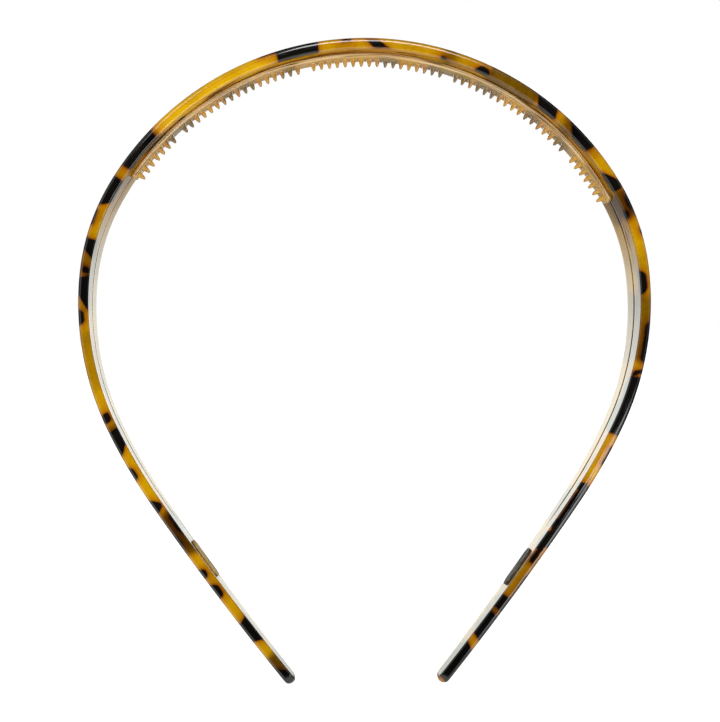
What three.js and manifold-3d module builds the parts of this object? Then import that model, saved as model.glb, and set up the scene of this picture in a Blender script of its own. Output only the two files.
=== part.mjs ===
// A hair band of tortoiseshell acetate: one heat-bent band, a toothed comb strip bonded
// inside its crown, and a small grip pad inside each leg.
//
// Millimetres, +Z up, as the band is worn: the hoop lies in the XZ plane and its tips
// point down. +X is the right-hand leg seen from the front, and +Y is the depth, front
// to back. The origin is the middle of the crown's inner face, where the band sits on
// the head.

import * as THREE from 'three';
import { mergeVertices } from 'three/addons/utils/BufferGeometryUtils.js';
import Module from 'manifold-3d';

const wasm = await Module();
wasm.setup();

// ---------------------------------------------------------------- driving dimensions

const THICKNESS = 2.5;
const CROWN_WIDTH = 14;
const TIP_WIDTH = 4.6;
const OUTER_EDGE_ROUND = 0.8;
const INNER_EDGE_ROUND = 0.4;

// One half of the hoop's outer outline, from the middle of the crown to the tip, as
// arcs that run smoothly into each other. The radius is in mm, the turn in degrees.
const OUTLINE = [
  { radius: 69, turn: 60 }, // crown
  { radius: 51, turn: 24 }, // shoulder
  { radius: 68, turn: 31 }, // temple, the widest part
  { radius: 130, turn: 9 }, // behind the ear
  { radius: 680, turn: 4.55 }, // leg, almost straight
];

// A fine groove runs along the middle of the inner face and fades before the tips.
const GROOVE_WIDTH = 0.8;
const GROOVE_DEPTH = 0.25;
const GROOVE_END = 40; // from the tip to where the groove has run out
const GROOVE_FADE = 15;

// The comb strip has groups of teeth, with one tooth left out between two groups.
const TOOTH_GROUPS = [7, 17, 17, 17, 7];
const TOOTH_PITCH = 1.92;
const TOOTH_LENGTH = 1.7;
const TOOTH_ROOT = 1.2;
const TOOTH_TIP = 0.55;
const TOOTH_DEPTH = 2.2;
const STRIP_WIDTH = 6;
const STRIP_THICKNESS = 0.9;
const STRIP_END = 1.7; // from the last tooth's middle to the strip's end
const COMB_SHIFT = 3.8; // the comb is bonded off the middle, towards +X

const PAD_LENGTH = 10.4;
const PAD_WIDTH = 3.4;
const PAD_THICKNESS = 0.4;
// From each tip to its pad's middle, along the band. The pads are not quite level.
const LEFT_PAD_FROM_TIP = 36;
const RIGHT_PAD_FROM_TIP = 32.8;

// The adhesive's gap between the band and what is bonded to it.
const BOND_GAP = 0.2;

// ------------------------------------------------------------------ derived dimensions

const degrees = THREE.MathUtils.degToRad;
const CROWN_RADIUS = OUTLINE[0].radius;
const INNER_RADIUS = CROWN_RADIUS - THICKNESS;

// The same arcs along the middle of the band's thickness.
const MIDLINE = OUTLINE.map(({ radius, turn }) => ({
  radius: radius - THICKNESS / 2,
  turn: degrees(turn),
}));
const HALF_LENGTH = MIDLINE.reduce((sum, arc) => sum + arc.radius * arc.turn, 0);
const CROWN_HALF_LENGTH = MIDLINE[0].radius * MIDLINE[0].turn;

// Where the band's midline is at a distance from the middle of the crown, positive
// towards +X, and which way is outward there. The crown's inner face is at z = 0.
function alongBand(distance) {
  const side = distance < 0 ? -1 : 1;
  const place = new THREE.Vector2(0, THICKNESS / 2);
  let heading = 0;
  let left = Math.abs(distance);
  for (const { radius, turn } of MIDLINE) {
    const turned = Math.min(left / radius, turn);
    place.x += radius * (Math.sin(heading + turned) - Math.sin(heading));
    place.y += radius * (Math.cos(heading + turned) - Math.cos(heading));
    heading += turned;
    left -= turned * radius;
  }
  const outward = new THREE.Vector2(side * Math.sin(heading), Math.cos(heading));
  place.x *= side;
  return { place, outward };
}

// The strip is cut with a parallel crown and straight tapers down to the tips.
function widthAt(distance) {
  const past = Math.max(0, Math.abs(distance) - CROWN_HALF_LENGTH);
  return THREE.MathUtils.lerp(CROWN_WIDTH, TIP_WIDTH, past / (HALF_LENGTH - CROWN_HALF_LENGTH));
}

// ------------------------------------------------------------------------------- tools

// Moves every corner of a geometry by a function of its position.
function reshape(geometry, move) {
  const position = geometry.getAttribute('position');
  const corner = new THREE.Vector3();
  for (let i = 0; i < position.count; i += 1) {
    corner.fromBufferAttribute(position, i);
    move(corner);
    position.setXYZ(i, corner.x, corner.y, corner.z);
  }
  geometry.computeVertexNormals();
  return geometry;
}

// A geometry as a closed solid that can be joined.
function toSolid(geometry) {
  const bare = geometry.clone();
  bare.deleteAttribute('normal');
  bare.deleteAttribute('uv');
  const merged = mergeVertices(bare, 1e-4);
  return new wasm.Manifold(
    new wasm.Mesh({
      numProp: 3,
      vertProperties: Float32Array.from(merged.getAttribute('position').array),
      triVerts: Uint32Array.from(merged.getIndex().array),
    }),
  );
}

function toGeometry(solid) {
  const mesh = solid.getMesh();
  const geometry = new THREE.BufferGeometry();
  geometry.setAttribute('position', new THREE.BufferAttribute(mesh.vertProperties, 3));
  geometry.setIndex(new THREE.BufferAttribute(mesh.triVerts, 1));
  geometry.computeVertexNormals();
  return geometry;
}

// ---------------------------------------------------------------------------- the band

// The section's flats, in half sizes, that an edge rounding leaves.
function flats(edgeRound) {
  return { x: CROWN_WIDTH / 2 - edgeRound, y: THICKNESS / 2 - edgeRound };
}

// The band's section: width along x, thickness along y, with rounded edges. The inner
// face is the lower one, and has the groove.
function bandSection() {
  const inner = flats(INNER_EDGE_ROUND);
  const outer = flats(OUTER_EDGE_ROUND);
  const section = new THREE.Shape();
  section.moveTo(GROOVE_WIDTH / 2, -THICKNESS / 2);
  section.absarc(inner.x, -inner.y, INNER_EDGE_ROUND, -Math.PI / 2, 0, false);
  section.absarc(outer.x, outer.y, OUTER_EDGE_ROUND, 0, Math.PI / 2, false);
  section.absarc(-outer.x, outer.y, OUTER_EDGE_ROUND, Math.PI / 2, Math.PI, false);
  section.absarc(-inner.x, -inner.y, INNER_EDGE_ROUND, Math.PI, Math.PI * 1.5, false);
  section.lineTo(-GROOVE_WIDTH / 2, -THICKNESS / 2);
  section.lineTo(0, -THICKNESS / 2 + GROOVE_DEPTH);
  return section;
}

// Distances along the band where its section is set: close together on the round nose
// of each tip, wider apart elsewhere, and the same on both halves.
function bandStations() {
  const nose = TIP_WIDTH / 2;
  const noseSteps = 5;
  const half = [];
  const steps = Math.round((HALF_LENGTH - nose) / 3.6);
  for (let i = 0; i <= steps; i += 1) {
    half.push(((HALF_LENGTH - nose) * i) / steps);
  }
  for (let i = 1; i <= noseSteps; i += 1) {
    half.push(HALF_LENGTH - nose * (1 - Math.sin(degrees(85 * (i / noseSteps)))));
  }
  return [...half.slice(1).reverse().map((distance) => -distance), ...half];
}

// How much is left of a size near a round end: 1 away from it, falling to 0 at it.
function roundedEnd(fromEnd, radius) {
  const inside = THREE.MathUtils.clamp(1 - fromEnd / radius, 0, 1);
  return Math.sqrt(1 - inside * inside);
}

// A straight blank is extruded, one unit of depth for each station, and every corner
// is then taken to its place on the hoop, as the real strip is bent over a former.
function bandGeometry() {
  const stations = bandStations();
  const blank = new THREE.ExtrudeGeometry(bandSection(), {
    depth: stations.length - 1,
    steps: stations.length - 1,
    bevelEnabled: false,
    curveSegments: 1,
  });
  return reshape(blank, (corner) => {
    const distance = stations[Math.round(corner.z)];
    const fromTip = HALF_LENGTH - Math.abs(distance);
    if (corner.x === 0) {
      const left = THREE.MathUtils.clamp((fromTip - GROOVE_END) / GROOVE_FADE, 0, 1);
      corner.y = -THICKNESS / 2 + GROOVE_DEPTH * left;
    }
    const halfWidth = (widthAt(distance) / 2) * roundedEnd(fromTip, TIP_WIDTH / 2);
    const halfThickness = (THICKNESS / 2) * roundedEnd(fromTip, THICKNESS / 2);
    const edge = corner.y < 0 ? INNER_EDGE_ROUND : OUTER_EDGE_ROUND;
    const round = Math.min(edge, halfWidth * 0.8, halfThickness * 0.8);
    // The flats shrink with the band and the edge rounding keeps its size.
    const flat = flats(edge);
    const coreX = THREE.MathUtils.clamp(corner.x, -flat.x, flat.x);
    const coreY = THREE.MathUtils.clamp(corner.y, -flat.y, flat.y);
    const across =
      (coreX / flat.x) * (halfWidth - round) + ((corner.x - coreX) / edge) * round;
    const through =
      (coreY / flat.y) * (halfThickness - round) + ((corner.y - coreY) / edge) * round;
    const { place, outward } = alongBand(distance);
    corner.set(place.x + outward.x * through, across, place.y + outward.y * through);
  });
}

// ---------------------------------------------------------------------- the comb strip

const STRIP_OUTER = INNER_RADIUS - BOND_GAP;
const STRIP_INNER = STRIP_OUTER - STRIP_THICKNESS;
const PITCH_ANGLE = TOOTH_PITCH / STRIP_INNER;
const COMB_ANGLE = COMB_SHIFT / STRIP_INNER;

// The teeth's angles from the middle of the comb, with one place left empty between
// groups.
function toothAngles() {
  const places = [];
  let place = 0;
  for (const count of TOOTH_GROUPS) {
    for (let i = 0; i < count; i += 1) {
      places.push(place + i);
    }
    place += count + 1;
  }
  const middle = places.at(-1) / 2;
  return places.map((each) => (each - middle) * PITCH_ANGLE);
}

// Turns an extrusion of an outline in the XZ plane, made about the crown's centre,
// so that its depth lies along Y and is centred on the band.
function setUpright(geometry, depth) {
  geometry.rotateX(Math.PI / 2);
  geometry.translate(0, depth / 2, -INNER_RADIUS);
  return geometry;
}

function stripGeometry(halfAngle) {
  const top = Math.PI / 2 - COMB_ANGLE;
  const outline = new THREE.Shape();
  outline.absarc(0, 0, STRIP_OUTER, top - halfAngle, top + halfAngle, false);
  outline.absarc(0, 0, STRIP_INNER, top + halfAngle, top - halfAngle, true);
  const strip = new THREE.ExtrudeGeometry(outline, {
    depth: STRIP_WIDTH,
    bevelEnabled: false,
    curveSegments: 48,
  });
  return setUpright(strip, STRIP_WIDTH);
}

// One tooth, pointing straight down, with straight flanks and a round tip. Its root is
// a little way inside the strip.
function toothGeometry() {
  const root = STRIP_INNER + STRIP_THICKNESS / 2;
  const roundCentre = STRIP_INNER - TOOTH_LENGTH + TOOTH_TIP / 2;
  const outline = new THREE.Shape();
  outline.moveTo(TOOTH_ROOT / 2, root);
  outline.lineTo(-TOOTH_ROOT / 2, root);
  outline.absarc(0, roundCentre, TOOTH_TIP / 2, Math.PI, Math.PI * 2, false);
  return new THREE.ExtrudeGeometry(outline, {
    depth: TOOTH_DEPTH,
    bevelEnabled: false,
    curveSegments: 4,
  });
}

function combGeometry() {
  const angles = toothAngles();
  const halfAngle = angles.at(-1) + STRIP_END / STRIP_INNER;
  let comb = toSolid(stripGeometry(halfAngle));
  for (const angle of angles) {
    const tooth = toothGeometry().rotateZ(-angle - COMB_ANGLE);
    comb = comb.add(toSolid(setUpright(tooth, TOOTH_DEPTH)));
  }
  return toGeometry(comb);
}

// --------------------------------------------------------------------------- grip pads

// A pad is an oblong with half-round ends, bent to follow the leg's inner face.
function padGeometry(side, fromTip) {
  const straight = (PAD_LENGTH - PAD_WIDTH) / 2;
  const outline = new THREE.Shape();
  outline.absarc(straight, 0, PAD_WIDTH / 2, -Math.PI / 2, Math.PI / 2, false);
  outline.absarc(-straight, 0, PAD_WIDTH / 2, Math.PI / 2, Math.PI * 1.5, false);
  const pad = new THREE.ExtrudeGeometry(outline, {
    depth: PAD_THICKNESS,
    bevelEnabled: false,
    curveSegments: 10,
  });
  const middle = side * (HALF_LENGTH - fromTip);
  return reshape(pad, (corner) => {
    const { place, outward } = alongBand(middle + corner.x);
    const through = -THICKNESS / 2 - BOND_GAP - PAD_THICKNESS + corner.z;
    corner.set(place.x + outward.x * through, corner.y, place.y + outward.y * through);
  });
}

// ----------------------------------------------------------------------------- headband

const tortoiseshell = { color: 0xb87a10, roughness: 0.12, metalness: 0 };
const amber = { color: 0xc99038, roughness: 0.2, metalness: 0 };
const smoked = { color: 0x3a383c, roughness: 0.5, metalness: 0 };

function addPiece(name, geometry, finish) {
  const piece = new THREE.Mesh(geometry, new THREE.MeshStandardMaterial(finish));
  piece.name = name;
  headband.add(piece);
}

const headband = new THREE.Group();
addPiece('band', bandGeometry(), tortoiseshell);
addPiece('comb_strip', combGeometry(), amber);
addPiece('grip_pad_left', padGeometry(-1, LEFT_PAD_FROM_TIP), smoked);
addPiece('grip_pad_right', padGeometry(1, RIGHT_PAD_FROM_TIP), smoked);

export default headband;
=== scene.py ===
# %% [markdown]
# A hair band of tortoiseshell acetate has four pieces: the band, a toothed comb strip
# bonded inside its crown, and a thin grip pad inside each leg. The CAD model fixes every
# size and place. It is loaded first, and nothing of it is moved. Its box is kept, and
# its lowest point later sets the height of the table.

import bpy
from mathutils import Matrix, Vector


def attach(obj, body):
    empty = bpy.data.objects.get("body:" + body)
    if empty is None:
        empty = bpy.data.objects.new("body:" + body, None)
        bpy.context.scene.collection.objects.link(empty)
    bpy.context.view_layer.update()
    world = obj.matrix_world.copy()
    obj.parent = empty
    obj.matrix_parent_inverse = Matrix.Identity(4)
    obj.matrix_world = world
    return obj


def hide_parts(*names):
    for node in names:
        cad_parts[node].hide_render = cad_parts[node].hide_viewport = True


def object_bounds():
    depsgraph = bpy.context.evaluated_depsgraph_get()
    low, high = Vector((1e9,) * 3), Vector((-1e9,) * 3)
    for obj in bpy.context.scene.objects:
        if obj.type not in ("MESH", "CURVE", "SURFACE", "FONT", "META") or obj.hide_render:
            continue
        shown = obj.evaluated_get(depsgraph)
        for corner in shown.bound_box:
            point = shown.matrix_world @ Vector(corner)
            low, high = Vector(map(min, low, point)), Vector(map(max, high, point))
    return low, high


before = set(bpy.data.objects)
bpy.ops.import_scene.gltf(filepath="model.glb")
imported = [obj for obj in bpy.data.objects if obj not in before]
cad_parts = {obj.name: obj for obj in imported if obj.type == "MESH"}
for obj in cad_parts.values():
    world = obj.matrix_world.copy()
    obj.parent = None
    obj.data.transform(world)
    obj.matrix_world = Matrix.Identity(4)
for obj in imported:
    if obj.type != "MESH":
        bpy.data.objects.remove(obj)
cad_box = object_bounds()
print("CAD nodes:", sorted(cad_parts))
print("CAD box in metres:", [[round(v, 5) for v in corner] for corner in cad_box])

# %% [markdown]
# All sizes below are typed in millimetres, as a maker would measure them, and are
# multiplied by MM where Blender needs metres. Small helpers keep the node trees
# readable: one adds a node and fills its inputs, two do one step of arithmetic, and one
# runs a value from a low to a high end. A value that is a socket is linked, and any
# other value is typed into the input.

# %% Units and helpers for node trees
import math
import random
import bmesh
import bpy
import numpy as np
from mathutils import Vector, noise

MM = 0.001
PATTERN_SEED = 3
noise.seed_set(PATTERN_SEED)  # without a seed, each run would draw other blotches


def fill(tree, socket, value):
    """Links a socket, or types a plain value into it."""
    if isinstance(value, bpy.types.NodeSocket):
        tree.links.new(value, socket)
    else:
        socket.default_value = value


def put(tree, kind, inputs=None, **settings):
    """Adds a node with its settings, then fills its inputs by name or number."""
    node = tree.nodes.new(kind)
    for name, value in settings.items():
        setattr(node, name, value)
    for key, value in (inputs or {}).items():
        fill(tree, node.inputs[key], value)
    return node


def calc(tree, operation, *values, clamp=False):
    """One Math node: calc(tree, "ADD", a, b) is a + b."""
    node = put(tree, "ShaderNodeMath", operation=operation, use_clamp=clamp)
    for socket, value in zip(node.inputs, values):
        fill(tree, socket, value)
    return node.outputs[0]


def vector_calc(tree, operation, first, second):
    """One Vector Math node. Only SCALE takes a plain number as its second value."""
    keys = (0, "Scale") if operation == "SCALE" else (0, 1)
    node = put(tree, "ShaderNodeVectorMath", dict(zip(keys, (first, second))),
               operation=operation)
    return node.outputs[0]


def run(tree, value, start, end, low=0.0, high=1.0, way="LINEAR"):
    """A value that runs from low to high while another runs from start to end."""
    return put(tree, "ShaderNodeMapRange", {
        "Value": value, "From Min": start, "From Max": end, "To Min": low, "To Max": high,
    }, interpolation_type=way).outputs[0]


def new_tree(name, kind, inputs, outputs):
    """A node group with named inputs and outputs, and its two end nodes."""
    tree = bpy.data.node_groups.new(name, kind)
    for label, socket_type in inputs:
        tree.interface.new_socket(label, in_out="INPUT", socket_type=socket_type)
    for label, socket_type in outputs:
        tree.interface.new_socket(label, in_out="OUTPUT", socket_type=socket_type)
    start = tree.nodes.new("NodeGroupInput")
    end = tree.nodes.new("NodeGroupOutput")
    return tree, start.outputs, end.inputs


print("one Blender unit is", round(1 / MM), "mm")

# %% [markdown]
# The camera looks straight along the depth of the hoop, from a little left of its
# middle, so a sliver of the inner face shows on both sides and more of it on the right.
# The crown is seen from below. A small lens shift frames the hoop without turning the
# camera, which would make the legs lean. The hoop itself hangs half a degree askew in
# the view, so the camera is rolled by that much.

# %% Place the camera
camera = bpy.data.objects.new("camera", bpy.data.cameras.new("camera"))
bpy.context.scene.collection.objects.link(camera)
camera.location = (-15.5 * MM, -288 * MM, -67.7 * MM)
camera.rotation_euler = (math.radians(90), math.radians(0.46), 0)
camera.data.sensor_fit = "HORIZONTAL"
camera.data.sensor_width = 36
camera.data.lens = 60.74
camera.data.shift_x = 0.0858
camera.data.shift_y = -0.0278
camera.data.clip_start = 0.01
bpy.context.scene.camera = camera
print("camera at", [round(v, 4) for v in camera.location], "lens", camera.data.lens, "mm")

# %% [markdown]
# The light is that of a small product table. Behind the object hangs a pale backdrop
# that is brightest from the horizon upwards, and a little more so to both sides. The
# glossy inner faces are seen at a low angle and mirror it, so the legs look ivory
# inside, while the crown mirrors the dimmer part below and keeps its tan. In front is a
# soft dome with a dark hole in its middle. The flat front edge mirrors only that hole,
# so its amber stays pure. A side light on the left reaches the inside of the right leg,
# and the floor throws some light up. Seen directly, the backdrop is plain white.

# %% Light the backdrop and the room
world = bpy.data.worlds.new("studio")
bpy.context.scene.world = world
world.use_nodes = True
sky = world.node_tree
sky.nodes.clear()
way = put(sky, "ShaderNodeTexCoord").outputs["Generated"]
parts = put(sky, "ShaderNodeSeparateXYZ", {0: way}).outputs


def ease(part, start, end, low=0.0, high=1.0):
    """Light that eases from low to high as one part of the direction changes."""
    return run(sky, part, start, end, low, high, "SMOOTHSTEP")


ROOM_LIGHT = 0.01
backdrop = calc(sky, "MULTIPLY", ease(parts["Y"], 0.78, 0.92),
                ease(parts["Z"], -0.15, 0.15, 0.24, 2.15))
for start, end, gain in ((0.1, -0.2, 1.3), (0.18, 0.24, 2.0)):  # left, then right
    backdrop = calc(sky, "MULTIPLY", backdrop, ease(parts["X"], start, end, 1.0, gain))
forward = calc(sky, "MULTIPLY", parts["Y"], -1.0)
dome = calc(sky, "MULTIPLY", ease(forward, 0.93, 0.80), ease(forward, 0.1, 0.4))
dome = calc(sky, "MULTIPLY", dome, ease(parts["Z"], -0.3, 0.5, 0.5, 0.4))
side_light = ease(parts["X"], -0.4, -0.75, 0.0, 0.9)
dome = calc(sky, "MULTIPLY_ADD", side_light, ease(forward, 0.0, 0.3), dome)
floor_light = ease(parts["Z"], -0.3, -0.6)
strength = calc(sky, "ADD", calc(sky, "ADD", backdrop, dome), floor_light)
strength = calc(sky, "ADD", strength, ROOM_LIGHT)
lit = put(sky, "ShaderNodeBackground", {
    "Color": (0.96, 1.0, 0.94, 1), "Strength": strength})
seen = put(sky, "ShaderNodeBackground", {"Color": (1, 1, 1, 1), "Strength": 1.0})
direct = put(sky, "ShaderNodeLightPath").outputs["Is Camera Ray"]
mixed = put(sky, "ShaderNodeMixShader", {0: direct, 1: lit.outputs[0], 2: seen.outputs[0]})
put(sky, "ShaderNodeOutputWorld", {"Surface": mixed.outputs[0]})
bpy.context.scene.view_settings.view_transform = "Standard"
print("backdrop and dome made with", len(sky.nodes), "nodes")

# %% [markdown]
# Three soft panels give the highlights. They hang just outside the cone that the flat
# front edge mirrors towards the camera, so only its rounded corners and buffing lines
# catch them. The panel above draws a bright line along the crown, and the low one on
# the right a weaker one down the right leg. The small one draws the streaks on the
# upper left.

# %% Hang the soft panels
HOOP_MIDDLE = Vector((0, 0, -65)) * MM


def soft_panel(name, place, size, power):
    """An area light at a place in mm, facing the middle of the hoop."""
    lamp = bpy.data.lights.new(name, "AREA")
    lamp.shape = "RECTANGLE"
    lamp.size, lamp.size_y = size[0] * MM, size[1] * MM
    lamp.energy = power
    panel = bpy.data.objects.new(name, lamp)
    bpy.context.scene.collection.objects.link(panel)
    panel.location = Vector(place) * MM
    aim = HOOP_MIDDLE - panel.location
    panel.rotation_euler = aim.to_track_quat("-Z", "Y").to_euler()
    print("panel", name, "at", place, "mm,", power, "W")


soft_panel("panel_above", (59, -674, 320), (230, 210), 2.1)
soft_panel("panel_low_right", (300, -616, -315), (260, 240), 1.2)
soft_panel("panel_upper_left", (-164, -657, 175), (80, 80), 0.14)

# %% [markdown]
# The hoop stands on its two tips on a pale table that runs far back, so no edge of it
# shows. The table isn't part of the hair band. It glows faintly, like a lit table of
# milk glass, and is left out of mirror images and bounced light, so that only the
# backdrop and the dome colour the object.

# %% Lay the pale table
table_mesh = bpy.data.meshes.new("table")
floor_z = cad_box[0][2]
far, front = 30.0, -45 * MM
table_mesh.from_pydata(
    [(-far, front, floor_z), (far, front, floor_z), (far, far, floor_z),
     (-far, far, floor_z)], [], [(0, 1, 2, 3)])
table = bpy.data.objects.new("table", table_mesh)
bpy.context.scene.collection.objects.link(table)
milk_glass = bpy.data.materials.new("milk_glass")
milk_glass.use_nodes = True
glow = milk_glass.node_tree.nodes["Principled BSDF"].inputs
glow["Base Color"].default_value = (0.9, 0.9, 0.9, 1)
glow["Roughness"].default_value = 0.9
glow["Specular IOR Level"].default_value = 0.0
glow["Emission Color"].default_value = (1, 1, 1, 1)
glow["Emission Strength"].default_value = 0.96
table_mesh.materials.append(milk_glass)
table.visible_glossy = False
table.visible_diffuse = False
print("table at z =", round(floor_z / MM, 2), "mm")

# %% [markdown]
# The band is cut from sheet as a flat tapered strip and bent hot over a former. Its
# line is therefore a chain of arcs, and every point of it has a place and an outward
# direction. Both come from the distance along the strip, measured from the middle of
# the crown. The same rule carries the pads, which follow the legs.

# %% The line of the hoop
THICKNESS = 2.5
CROWN_WIDTH = 14.0
TIP_WIDTH = 4.6
ARCS = [(69, 60), (51, 24), (68, 31), (130, 9), (680, 4.55)]  # outer radius, degrees
MIDDLE = [(radius - THICKNESS / 2, math.radians(turn)) for radius, turn in ARCS]
HALF_LENGTH = sum(radius * turn for radius, turn in MIDDLE)
CROWN_HALF = MIDDLE[0][0] * MIDDLE[0][1]


def along_band(distance):
    """Place (x, z) of the middle of the thickness, and the outward direction, in mm."""
    side = -1 if distance < 0 else 1
    x, z, heading, left = 0.0, THICKNESS / 2, 0.0, abs(distance)
    for index, (radius, turn) in enumerate(MIDDLE):
        last = index == len(MIDDLE) - 1
        turned = left / radius if last else min(left / radius, turn)
        x += radius * (math.sin(heading + turned) - math.sin(heading))
        z += radius * (math.cos(heading + turned) - math.cos(heading))
        heading += turned
        left -= turned * radius
    return (side * x, z), (side * math.sin(heading), math.cos(heading))


def half_width(distance):
    """Half of the strip's width: parallel over the crown, tapering to the tips."""
    past = max(0.0, abs(distance) - CROWN_HALF) / (HALF_LENGTH - CROWN_HALF)
    return (CROWN_WIDTH + (TIP_WIDTH - CROWN_WIDTH) * past) / 2


print("half length", round(HALF_LENGTH, 2), "mm, tip at", along_band(HALF_LENGTH)[0])

# %% [markdown]
# A bent sheet is made from two plain lines of points. One runs along the strip and
# knows the place and the outward direction at each station. The other runs once round
# the section and knows where each point is on it, as shares of the flats and of the
# rounded corners. Keeping shares instead of millimetres lets the flats shrink towards
# the tips while the corners keep their radius, as on a real strip that is cut to a
# taper and then rounded with the same wheel all along.

# %% Make the two lines of points
def paint(mesh, name, values):
    """Stores one number or one vector for each point of a mesh."""
    flat = np.asarray(values, np.float32)
    kind, field = ("FLOAT", "value") if flat.ndim == 1 else ("FLOAT_VECTOR", "vector")
    column = mesh.attributes.get(name) or mesh.attributes.new(name, kind, "POINT")
    column.data.foreach_set(field, flat.ravel())


def line_mesh(name, points, closed, **columns):
    """A line of points in mm, with one number or one vector for each point by name."""
    mesh = bpy.data.meshes.new(name)
    edges = [(i, i + 1) for i in range(len(points) - 1)]
    if closed:
        edges.append((len(points) - 1, 0))
    mesh.from_pydata([Vector(p) * MM for p in points], edges, [])
    for key, values in columns.items():
        paint(mesh, key, values)
    line = bpy.data.objects.new(name, mesh)
    bpy.context.scene.collection.objects.link(line)
    return line


def round_section(name, flat_steps, side_steps, corner_steps, groove_steps):
    """A rounded oblong, once round: shares of the flats, the groove and the corners."""
    rows = []  # core_x, groove_x, core_y, round_x, round_y, groove

    def corner(sign_x, sign_y, start):
        for step in range(corner_steps):
            angle = math.radians(start + 90 * step / corner_steps)
            rows.append((sign_x, sign_x, sign_y, math.cos(angle), math.sin(angle), 0))

    for step in range(flat_steps):  # inner face, from the front to the groove
        rows.append((-1 + step / flat_steps, -1, -1, 0, -1, 0))
    for step in range(groove_steps + 1):
        share = -1 + 2 * step / groove_steps
        rows.append((0, share, -1, 0, -1, 0.5 + 0.5 * math.cos(math.pi * share)))
    for step in range(1, flat_steps):
        rows.append((step / flat_steps, 1, -1, 0, -1, 0))
    corner(1, -1, -90)
    for step in range(side_steps):
        rows.append((1, 1, -1 + 2 * step / side_steps, 1, 0, 0))
    corner(1, 1, 0)
    for step in range(2 * flat_steps):
        share = 1 - step / flat_steps
        rows.append((share, share, 1, 0, 1, 0))
    corner(-1, 1, 90)
    for step in range(side_steps):
        rows.append((-1, -1, 1 - 2 * step / side_steps, -1, 0, 0))
    corner(-1, -1, 180)
    names = ("core_x", "groove_x", "core_y", "round_x", "round_y", "groove")
    columns = {key: [row[i] for row in rows] for i, key in enumerate(names)}
    points = [(row[0] + row[3], row[2] + row[4], 0) for row in rows]
    print("section", name, "has", len(rows), "points")
    return line_mesh(name, points, True, **columns)


def stations(half, spacing, nose, nose_steps):
    """Distances from the middle: even, then closing in on the round end."""
    count = max(2, round((half - nose) / spacing))
    one_side = [(half - nose) * i / count for i in range(count + 1)]
    for i in range(1, nose_steps + 1):
        one_side.append(half - nose * (1 - math.sin(math.radians(90 * i / nose_steps))))
    return [-d for d in reversed(one_side[1:])] + one_side


def station_line(name, distances, spot_at):
    """A line of stations. spot_at gives the place and outward direction of each, in mm."""
    places, outwards = zip(*(spot_at(distance) for distance in distances))
    print("line", name, "has", len(places), "stations")
    return line_mesh(name, [(d, 0, 0) for d in distances], False,
                     along=np.array(distances) * MM, place=np.array(places) * MM,
                     outward=outwards)


def path_line(name, distances, middle=0.0, through=0.0):
    """The line along the strip around a middle, raised outward by through."""
    def spot_at(distance):
        (x, z), (out_x, out_z) = along_band(middle + distance)
        return (x + out_x * through, 0, z + out_z * through), (out_x, 0, out_z)

    return station_line(name, distances, spot_at)


# %% [markdown]
# A tree with named sizes turns the two lines into a bent sheet. Its first part works out
# where each point lies on the flat strip: along it, across it and through it. The width
# follows the taper and draws in at the round end, and the flats give way to the rounded
# edges. Inner Round is the share of the edge rounding that the inner edges keep. The
# groove lifts the middle of the inner face, and fades out before the tips.

# %% Work out the flat strip
SIZES = [
    "Middle Width", "Tip Width", "Straight Half", "Half Length", "Thickness",
    "Edge Round", "Inner Round", "Nose", "Groove Half Width", "Groove Depth",
    "Groove End", "Groove Fade"]
bend, given, result = new_tree(
    "Bent Sheet", "GeometryNodeTree",
    [("Line", "NodeSocketGeometry"), ("Section", "NodeSocketObject"),
     ("Material", "NodeSocketMaterial")] + [(name, "NodeSocketFloat") for name in SIZES],
    [("Sheet", "NodeSocketGeometry")])


def carried(tree, name, kind="FLOAT"):
    """The number or vector that each point carries under a name."""
    node = put(tree, "GeometryNodeInputNamedAttribute", {"Name": name}, data_type=kind)
    return node.outputs["Attribute"]


def rounded_end(tree, from_end, radius):
    """What is left of a size near a round end: 1 away from it, 0 at it."""
    share = calc(tree, "DIVIDE", from_end, radius)
    inside = calc(tree, "SUBTRACT", 1.0, share, clamp=True)
    squared = calc(tree, "MULTIPLY", inside, inside)
    return calc(tree, "SQRT", calc(tree, "SUBTRACT", 1.0, squared, clamp=True))


CORNER_LIMIT = 0.8  # share of the smaller flat that an edge rounding may take up
along = carried(bend, "along")
reach = calc(bend, "ABSOLUTE", along)
from_end = calc(bend, "SUBTRACT", given["Half Length"], reach)
past = calc(bend, "MAXIMUM", calc(bend, "SUBTRACT", reach, given["Straight Half"]), 0.0)
taper_run = calc(bend, "SUBTRACT", given["Half Length"], given["Straight Half"])
share = calc(bend, "DIVIDE", past, calc(bend, "MAXIMUM", taper_run, 1e-6))
narrowing = calc(bend, "SUBTRACT", given["Tip Width"], given["Middle Width"])
width = calc(bend, "MULTIPLY_ADD", narrowing, share, given["Middle Width"])
half_thick = calc(bend, "MULTIPLY", given["Thickness"], 0.5)
flat_w = calc(bend, "MULTIPLY", calc(bend, "MULTIPLY", width, 0.5),
              rounded_end(bend, from_end, given["Nose"]))
flat_t = calc(bend, "MULTIPLY", half_thick, rounded_end(bend, from_end, half_thick))
limit = calc(bend, "MULTIPLY", calc(bend, "MINIMUM", flat_w, flat_t), CORNER_LIMIT)
corner = calc(bend, "MINIMUM", given["Edge Round"], limit)
outer_side = calc(bend, "MULTIPLY_ADD", carried(bend, "core_y"), 0.5, 0.5)
keen = calc(bend, "SUBTRACT", 1.0, given["Inner Round"])
corner = calc(bend, "MULTIPLY", corner,
              calc(bend, "MULTIPLY_ADD", outer_side, keen, given["Inner Round"]))
flat_w = calc(bend, "SUBTRACT", flat_w, corner)
flat_t = calc(bend, "SUBTRACT", flat_t, corner)
groove_w = calc(bend, "MINIMUM", given["Groove Half Width"], flat_w)
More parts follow.
